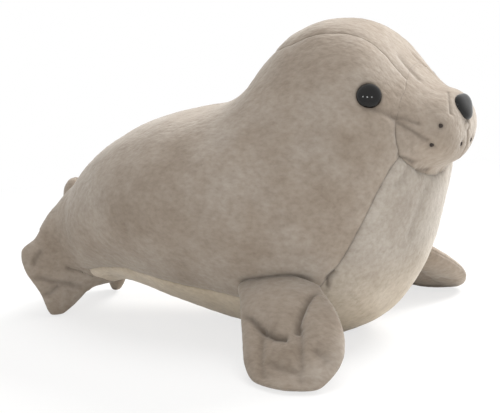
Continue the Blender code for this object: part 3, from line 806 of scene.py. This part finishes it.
def hind_flipper(name, side, body_tree, hind_tree):
    paddle = hind_paddle(side)
    points, faces, dark = paddle.solid(hind_relief)
    points, *join = melt(points, body_tree, hind_tree, body_tree)
    return finish_flipper(name, paddle, points, faces, dark, join)


# Small pieces

def select_only(obj):
    deselect()
    obj.select_set(True)
    bpy.context.view_layer.objects.active = obj


def apply_place(obj):
    select_only(obj)
    bpy.ops.object.transform_apply(location=True, rotation=True, scale=True)


def ball(name, radius, turns=96, rings=64):
    """A smooth ball with its poles on Z and its radius in millimetres, in the same order each run."""
    rise = np.linspace(-math.pi / 2, math.pi / 2, rings + 1)[1:-1, None]
    turn = np.linspace(0, math.tau, turns, endpoint=False)[None, :]
    parts = (np.cos(rise) * np.cos(turn), np.cos(rise) * np.sin(turn), np.sin(rise) + 0 * turn)
    points = np.stack(parts, axis=-1).reshape(-1, 3)
    faces = ring_faces(rings - 1, turns)
    for first, pole in ((0, len(points)), (len(points) - turns, len(points) + 1)):
        faces += [(first + j, first + (j + 1) % turns, pole) for j in range(turns)]
    points = np.concatenate([points, [(0, 0, -1), (0, 0, 1)]]) * radius
    return stuffed_object(name, points, faces, {}, merge=False)


def tail():
    """A small stuffed tab at the end of the back seam."""
    centre, _ = frame_on_body(*TAIL_PLACE, -TAIL_LIFT, 1)
    obj = ball("tail_tab", 0.5)
    obj.location = Vector(centre) * MM
    obj.scale = TAIL_SIZE
    apply_place(obj)
    points = points_of(obj)
    off = np.abs(points[:, 0])
    depth = crevice(off, TAIL_SEAM)
    set_points(obj, points + normals_of(obj) * (plush_relief(points) - depth)[:, None])
    # Painted shade along the tail tab's seam
    add_values(obj.data, {"dark": crevice(off, TAIL_SEAM_SHADE), "cream": off * 0})
    return obj


def stand_on(obj, point, normal):
    """Places an object made about Z at a point in millimetres, with Z along the normal."""
    turn = Vector(normal).to_track_quat("Z", "Y").to_matrix().to_4x4()
    obj.matrix_world = Matrix.Translation(Vector(point) * MM) @ turn
    apply_place(obj)


def eye(name, side):
    """A polished dome pressed into its socket."""
    point, normal = frame_on_body(*EYE_PLACE, EYE_SINK, side)
    obj = ball(name, EYE_DIAMETER / 2)
    select_only(obj)
    bpy.ops.object.mode_set(mode="EDIT")
    bpy.ops.mesh.select_all(action="SELECT")
    bpy.ops.mesh.bisect(plane_co=(0, 0, -EYE_BACK * MM), plane_no=(0, 0, 1), use_fill=True, clear_inner=True)
    bpy.ops.object.mode_set(mode="OBJECT")
    points = points_of(obj)
    points[:, 2] *= np.where(points[:, 2] > 0, EYE_HEIGHT / (EYE_DIAMETER / 2), 1)
    set_points(obj, points)
    stand_on(obj, point, normal)
    bpy.ops.object.shade_smooth_by_angle(angle=math.radians(50))
    return obj


def nose():
    """A polished rounded triangle, domed, with its point towards the mouth."""
    point, normal = frame_on_body(*NOSE_PLACE, NOSE_SINK, 1)
    obj = ball("nose_button", 1)
    points = points_of(obj)
    turn = np.arctan2(points[:, 1], points[:, 0])
    reach = 1 + NOSE_CORNERS * np.cos(3 * (turn + math.pi / 2))
    full = np.minimum(np.hypot(points[:, 0], points[:, 1]), 1) ** NOSE_FLATNESS
    points[:, 0] = NOSE_WIDTH / 2 * full * reach * np.cos(turn)
    points[:, 1] = NOSE_HEIGHT / 2 * full * reach * np.sin(turn)
    points[:, 2] *= np.where(points[:, 2] > 0, NOSE_DEPTH + NOSE_SINK, NOSE_BACK)
    set_points(obj, points)
    stand_on(obj, point, normal)
    return obj


def whisker_knot(name, place, degrees, side):
    """A small knot of embroidery thread pulled into the plush."""
    point, normal = frame_on_body(place, degrees, DOT_SINK, side)
    obj = ball(name, DOT_DIAMETER / 2, turns=32, rings=20)
    points = points_of(obj)
    height, size = DOT_LUMPS
    points *= 1 + height * value_noise(points, size, 7 + side)[:, None]
    points[:, 2] *= DOT_FLATNESS
    set_points(obj, points)
    stand_on(obj, point, normal)
    return obj


# Materials

def set_inputs(tree, node, inputs):
    """Sets a node's inputs from values, or links them to sockets."""
    for name, value in inputs.items():
        if isinstance(value, bpy.types.NodeSocket):
            tree.links.new(value, node.inputs[name])
        else:
            node.inputs[name].default_value = value


def add_node(tree, kind, settings=None, inputs=None):
    """Adds a node with its settings, and its inputs as values or as sockets to link."""
    made = tree.nodes.new(kind)
    for name, value in (settings or {}).items():
        setattr(made, name, value)
    set_inputs(tree, made, inputs or {})
    return made


def new_material(name):
    made = bpy.data.materials.new(name)
    made.use_nodes = True
    tree = made.node_tree
    return made, tree, tree.nodes["Principled BSDF"]


def ramp(tree, factor, stops):
    made = add_node(tree, "ShaderNodeValToRGB", inputs={"Fac": factor})
    elements = made.color_ramp.elements
    while len(elements) < len(stops):
        elements.new(0.5)
    for element, (position, colour) in zip(elements, stops):
        element.position = position
        element.color = linear(colour)
    return made.outputs["Color"]


def mix(tree, factor, first, second, blend="MIX"):
    made = add_node(
        tree, "ShaderNodeMix", {"data_type": "RGBA", "blend_type": blend}, {0: factor, 6: first, 7: second}
    )
    return made.outputs[2]


def math_node(tree, operation, first, second):
    return add_node(tree, "ShaderNodeMath", {"operation": operation}, {0: first, 1: second}).outputs[0]


def object_place(tree):
    return add_node(tree, "ShaderNodeTexCoord").outputs["Object"]


def point_value(tree, key):
    return add_node(tree, "ShaderNodeAttribute", {"attribute_name": key}).outputs["Fac"]


def noise(tree, place, scale, detail, roughness=0.5):
    inputs = {"Vector": place, "Scale": scale, "Detail": detail, "Roughness": roughness}
    return add_node(tree, "ShaderNodeTexNoise", inputs=inputs).outputs["Fac"]


def bump(tree, strength, distance, height, more=None):
    """Bump from a height in metres, on top of other inputs such as another bump's normal."""
    inputs = {"Strength": strength, "Distance": distance, "Height": height, **(more or {})}
    return add_node(tree, "ShaderNodeBump", inputs=inputs).outputs["Normal"]


def short_pile_plush(name, colours, belly=None):
    """Short polyester pile, brushed towards the tail: dull and mottled, with a pale sheen where it
    turns away, and painted shade in its seams, folds and creases by the "dark" values. The pile itself is
    0.05 mm fibres, drawn as 2 mm and 8 mm tufts so that it shows. A belly colour shows by the "cream" values."""
    made, tree, shader = new_material(name)
    place = object_place(tree)
    combed = add_node(tree, "ShaderNodeMapping", inputs={"Vector": place, "Scale": (1.0, 0.45, 0.7)})
    combed = combed.outputs["Vector"]
    nap = noise(tree, combed, 520.0, 3.0, 0.6)
    tufts = noise(tree, combed, 120.0, 3.0, 0.6)
    clouds = noise(tree, place, 26.0, 2.0)
    cloud_stops = (0.30, 0.52, 0.74)
    base = ramp(tree, clouds, tuple(zip(cloud_stops, colours)))
    if belly:
        belly_base = ramp(tree, clouds, tuple(zip(cloud_stops, belly)))
        base = mix(tree, point_value(tree, "cream"), base, belly_base)
    tuft_share = 0.7
    patches = ramp(tree, tufts, ((0.30, "#e8e5e2"), (0.50, "#f6f5f4"), (0.70, "#ffffff")))
    base = mix(tree, tuft_share, base, patches, "MULTIPLY")
    fine = ramp(tree, nap, ((0.30, "#dcd8d4"), (0.50, "#f0eeec"), (0.70, "#ffffff")))
    base = mix(tree, tuft_share, base, fine, "MULTIPLY")
    # Painted shade: the "dark" values darken the colour towards #4f463d in seams, folds, creases and round
    # the eyes, dots and flipper roots
    base = mix(tree, point_value(tree, "dark"), base, linear("#4f463d"))
    nap_bump = bump(tree, 0.5, 0.0008, nap)
    set_inputs(tree, shader, {
        "Base Color": base,
        "Normal": bump(tree, 0.25, 0.0015, tufts, {"Normal": nap_bump}),
        "Roughness": 0.95,
        "Specular IOR Level": 0.15,
        "Sheen Weight": 0.45,
        "Sheen Roughness": 0.5,
        "Sheen Tint": linear("#f2eee8"),
    })
    return made


def polished_acrylic():
    """Moulded black acrylic of the eyes and nose, polished so that it mirrors the lamps."""
    made, tree, shader = new_material("polished_black_acrylic")
    cloud = noise(tree, object_place(tree), 160.0, 2.0)
    set_inputs(tree, shader, {
        "Base Color": ramp(tree, cloud, ((0.35, "#080706"), (0.7, "#0e0c0a"))),
        "Roughness": 0.06,
        "IOR": 1.49,
        "Specular IOR Level": 0.34,
    })
    return made


def embroidery_thread():
    """Twisted dark brown polyester thread, its strands drawn as fine bands."""
    made, tree, shader = new_material("dark_embroidery_thread")
    strands = add_node(
        tree, "ShaderNodeTexWave", {"wave_type": "BANDS", "bands_direction": "DIAGONAL"},
        {"Vector": object_place(tree), "Scale": 900.0, "Distortion": 2.0},
    )
    strands = strands.outputs["Fac"]
    set_inputs(tree, shader, {
        "Base Color": ramp(tree, strands, ((0.0, "#1d1512"), (1.0, "#3a2e26"))),
        "Normal": bump(tree, 0.5, 0.0003, strands),
        "Roughness": 0.7,
    })
    return made


def seen_ray(tree):
    """1 for rays that show the background: camera, glossy and transmission rays."""
    path = add_node(tree, "ShaderNodeLightPath").outputs
    first = math_node(tree, "MAXIMUM", path["Is Camera Ray"], path["Is Glossy Ray"])
    return math_node(tree, "MAXIMUM", first, path["Is Transmission Ray"])


def studio_paper():
    """Matt white background paper: white from afar, and by the seal it takes a soft shadow."""
    made, tree, shader = new_material("white_background_paper")
    set_inputs(tree, shader, {
        "Base Color": linear("#f4f3f1"),
        "Roughness": 0.9,
        "Specular IOR Level": 0.1,
    })
    reach = add_node(tree, "ShaderNodeVectorMath", {"operation": "LENGTH"}, {0: object_place(tree)})
    near, far = PAPER_FADE
    white = add_node(
        tree, "ShaderNodeMapRange", {"interpolation_type": "SMOOTHSTEP"},
        {
            "Value": reach.outputs["Value"], "From Min": near, "From Max": far,
            "To Min": PAPER_WHITE, "To Max": 1.0,
        },
    )
    share = math_node(tree, "MULTIPLY", white.outputs["Result"], seen_ray(tree))
    glow = add_node(tree, "ShaderNodeEmission", inputs={"Color": (1, 1, 1, 1), "Strength": 1.0})
    blend = add_node(
        tree, "ShaderNodeMixShader", inputs={0: share, 1: shader.outputs[0], 2: glow.outputs[0]}
    )
    set_inputs(tree, tree.nodes["Material Output"], {"Surface": blend.outputs[0]})
    return made


def dress(obj, material):
    obj.data.materials.clear()
    obj.data.materials.append(material)


# Studio, in metres and degrees

CAMERA_AZIMUTH = -60
CAMERA_ELEVATION = 11
CAMERA_ROLL = -3.5
CAMERA_DISTANCE = 0.744
CAMERA_TARGET = Vector((0, -0.0047, 0.0728))
CAMERA_LENS = 86.4
CAMERA_SENSOR = 36

# Lamps as (name, place, diameter, watts, whether the eyes and nose mirror it). The window lights
# the far side and the crown, and the three soft boxes are the row of highlights in the eye
LAMPS = (
    ("window", (1.15, -0.55, 1.15), 0.8, 34, False),
    ("overhead", (0.10, -0.20, 1.45), 1.0, 12, False),
    ("softbox_side", (-1.26, 0.05, 0.61), 0.20, 1.5, True),
    ("softbox_middle", (-1.17, -0.60, 0.59), 0.20, 1.5, True),
    ("softbox_front", (-0.80, -1.10, 0.54), 0.20, 1.0, True),
)
LAMP_TARGET = (0, 0, 0.09)
AMBIENT = 0.38

# Background paper: its radius, how far below the seal it lies, how white it glows under the seal,
# and the distances from the seal between which it turns fully white
PAPER_RADIUS = 14
PAPER_DROP = 0.0003
PAPER_WHITE = 0.72
PAPER_FADE = (0.2, 0.6)


def camera():
    """Places the camera round its target, tilted by its roll."""
    turn = math.radians(CAMERA_AZIMUTH)
    rise = math.radians(CAMERA_ELEVATION)
    roll = math.radians(CAMERA_ROLL)
    back = Vector((math.sin(turn) * math.cos(rise), -math.cos(turn) * math.cos(rise), math.sin(rise)))
    level = Vector((math.cos(turn), math.sin(turn), 0))
    upright = back.cross(level)
    right = level * math.cos(roll) + upright * math.sin(roll)
    up = upright * math.cos(roll) - level * math.sin(roll)
    data = bpy.data.cameras.new("camera")
    data.lens = CAMERA_LENS
    data.sensor_width = CAMERA_SENSOR
    data.clip_start = 0.01
    obj = bpy.data.objects.new("camera", data)
    bpy.context.scene.collection.objects.link(obj)
    axes = Matrix((right, up, back)).transposed().to_4x4()
    obj.matrix_world = Matrix.Translation(CAMERA_TARGET + back * CAMERA_DISTANCE) @ axes
    bpy.context.scene.camera = obj


def area_lamp(name, place, size, power, mirrored):
    data = bpy.data.lights.new(name, "AREA")
    data.shape = "DISK"
    data.size = size
    data.energy = power
    obj = bpy.data.objects.new(name, data)
    bpy.context.scene.collection.objects.link(obj)
    obj.location = place
    obj.visible_glossy = mirrored
    obj.rotation_euler = (Vector(LAMP_TARGET) - Vector(place)).to_track_quat("-Z", "Y").to_euler()


def studio():
    """White surroundings that light the seal softly, the background paper and the lamps."""
    scene = bpy.context.scene
    scene.view_settings.view_transform = "Standard"
    world = bpy.data.worlds.new("studio")
    scene.world = world
    world.use_nodes = True
    tree = world.node_tree
    strength = add_node(
        tree, "ShaderNodeMapRange", inputs={"Value": seen_ray(tree), "To Min": AMBIENT, "To Max": 1.0}
    )
    background = {"Color": (1, 1, 1, 1), "Strength": strength.outputs["Result"]}
    set_inputs(tree, tree.nodes["Background"], background)
    deselect()
    bpy.ops.mesh.primitive_circle_add(
        vertices=96, radius=PAPER_RADIUS, fill_type="NGON", location=(0, 0, -PAPER_DROP)
    )
    floor = bpy.context.active_object
    floor.name = "studio_floor"
    dress(floor, studio_paper())
    for lamp in LAMPS:
        area_lamp(*lamp)


# Assembly

grey_plush = short_pile_plush("grey_short_pile_plush", ("#978a7c", "#a4988b", "#aea499"))
# The chest and belly are one cream fabric: the greyer chest colours are painted shade, and the cream belly
# colours are its own
pale_plush = short_pile_plush(
    "pale_short_pile_plush", ("#a9a096", "#b4aca2", "#bdb6ad"), ("#c6b8a2", "#d2c5b1", "#dacfbf")
)
acrylic = polished_acrylic()
thread = embroidery_thread()


def place_piece(obj, material, nodes):
    """Gives a piece its finish, hides the nodes it stands for and fixes it to the root body."""
    dress(obj, material)
    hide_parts(*nodes)
    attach(obj, "root")


def flipper_nodes(end, word):
    return [f"{end}_flipper_{word}_{layer}" for layer in ("upper_panel", "under_panel", "stuffing")]


# The plain forms of the body and the flippers, which tell the plush how near they are
coarse_rows = np.linspace(0, 1, COARSE_ROWS)
coarse_turns = np.linspace(-math.pi, math.pi, COARSE_TURNS, endpoint=False)
coarse_body = surface(coarse_rows[:, None], coarse_turns[None, :]).reshape(-1, 3)
body_tree = tree_of(coarse_body, ring_faces(COARSE_ROWS, COARSE_TURNS))
front_trees = {side: tree_of(*front_paddle(side).solid(front_relief)[:2]) for side in (-1, 1)}
hind_trees = {side: tree_of(*hind_paddle(side).solid(hind_relief)[:2]) for side in (-1, 1)}
trees = (body_tree, hind_trees, front_trees)

# Edges of the panels as angles at each row from the tail to the muzzle's seam
rows = np.linspace(0, MUZZLE_SEAM, BODY_ROWS + 1)
belly_edge = np.radians(along_table(BELLY_SEAM, rows))
gusset_edge = np.radians(along_table(GUSSET_HALF_ANGLE, rows))
on_head = rows > GUSSET_START - 1e-6
back_edge = math.pi - gusset_edge

for word, side in (("right", -1), ("left", 1)):
    panel = sewn_panel(
        f"side_{word}", rows, belly_edge * side, back_edge * side, SIDE_COLUMNS, (side,), trees
    )
    place_piece(panel, grey_plush, [f"side_panel_{word}"])
    flipper = front_flipper(f"flipper_front_{word}", side, body_tree)
    place_piece(flipper, grey_plush, flipper_nodes("front", word))
    flipper = hind_flipper(f"flipper_hind_{word}", side, body_tree, hind_trees[side])
    place_piece(flipper, grey_plush, flipper_nodes("hind", word))
    button = eye(f"eye_button_{word}", side)
    place_piece(button, acrylic, [f"eye_{word}", f"eye_{word}_washer"])
    for number, (place, degrees) in enumerate(DOT_PLACES, 1):
        knot = whisker_knot(f"whisker_knot_{word}_{number}", place, degrees, side)
        place_piece(knot, thread, [f"whisker_dot_{word}_{number}"])

belly = sewn_panel("chest_and_belly", rows, -belly_edge, belly_edge, BELLY_COLUMNS, (-1, 1), trees)
place_piece(belly, pale_plush, ["chest_belly_panel", "body_stuffing"])
crown = sewn_panel(
    "head_top", rows[on_head], math.pi - gusset_edge[on_head], math.pi + gusset_edge[on_head],
    GUSSET_COLUMNS, (-1, 1), trees,
)
place_piece(crown, grey_plush, ["head_gusset"])
place_piece(muzzle(), grey_plush, ["muzzle_panel"])
place_piece(nose(), acrylic, ["nose", "nose_washer"])
place_piece(tail(), grey_plush, ["tail"])

studio()
camera()
deselect()
